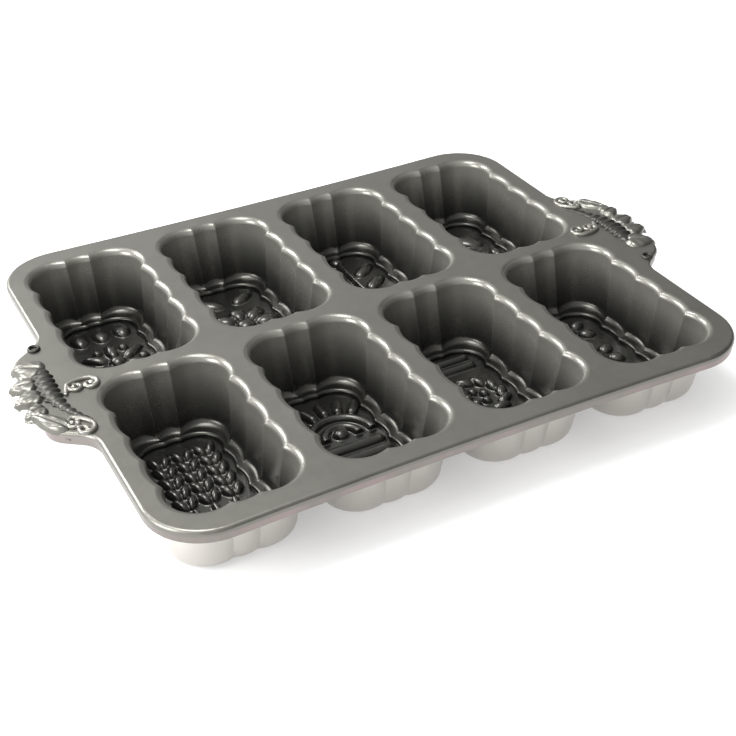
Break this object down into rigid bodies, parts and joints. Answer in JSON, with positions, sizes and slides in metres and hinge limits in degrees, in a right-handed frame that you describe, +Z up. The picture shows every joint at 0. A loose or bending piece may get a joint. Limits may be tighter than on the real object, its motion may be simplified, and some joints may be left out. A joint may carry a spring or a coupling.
{
  "type": "cakelet pan",
  "caption": "Cast aluminium cakelet pan with a flat deck, two rows of deep fluted rectangular cups with relief floors, and leaf and scroll handles at both ends",
  "frame": {"origin": "middle of the pan on the plane that the undersides of the cups stand on", "axes": "+X along the four columns toward the right handle, +Y from the front row of cups to the back row, +Z up out of the cups"},
  "size_m": [0.38, 0.2776, 0.0448],
  "materials": {
    "coated_top": "satin dark grey release coating on cast aluminium",
    "coated_floor": "glossy dark grey release coating over relief",
    "coated_handle": "satin dark grey coating on cast ornament",
    "bare_casting": "light warm grey satin outside of the casting"
  },
  "bodies": {
    "root": {"deck_plate": "coated_top", "cup_wall_front_1": "coated_top", "cup_wall_front_2": "coated_top", "cup_wall_front_3": "coated_top", "cup_wall_front_4": "coated_top", "cup_wall_back_1": "coated_top", "cup_wall_back_2": "coated_top", "cup_wall_back_3": "coated_top", "cup_wall_back_4": "coated_top", "cup_floor_front_1": "coated_floor", "cup_floor_front_2": "coated_floor", "cup_floor_front_3": "coated_floor", "cup_floor_front_4": "coated_floor", "cup_floor_back_1": "coated_floor", "cup_floor_back_2": "coated_floor", "cup_floor_back_3": "coated_floor", "cup_floor_back_4": "coated_floor", "cup_relief_front_1": "coated_floor", "cup_relief_front_2": "coated_floor", "cup_relief_front_3": "coated_floor", "cup_relief_front_4": "coated_floor", "cup_relief_back_1": "coated_floor", "cup_relief_back_2": "coated_floor", "cup_relief_back_3": "coated_floor", "cup_relief_back_4": "coated_floor", "rim_skirt": "bare_casting", "handle_left": "coated_handle", "handle_right": "coated_handle", "leaf_spray_left": "coated_handle", "leaf_spray_right": "coated_handle", "scrolls_left": "coated_handle", "scrolls_right": "coated_handle", "ribbed_boss_left": "coated_handle", "ribbed_boss_right": "coated_handle"}
  },
  "joints": []
}
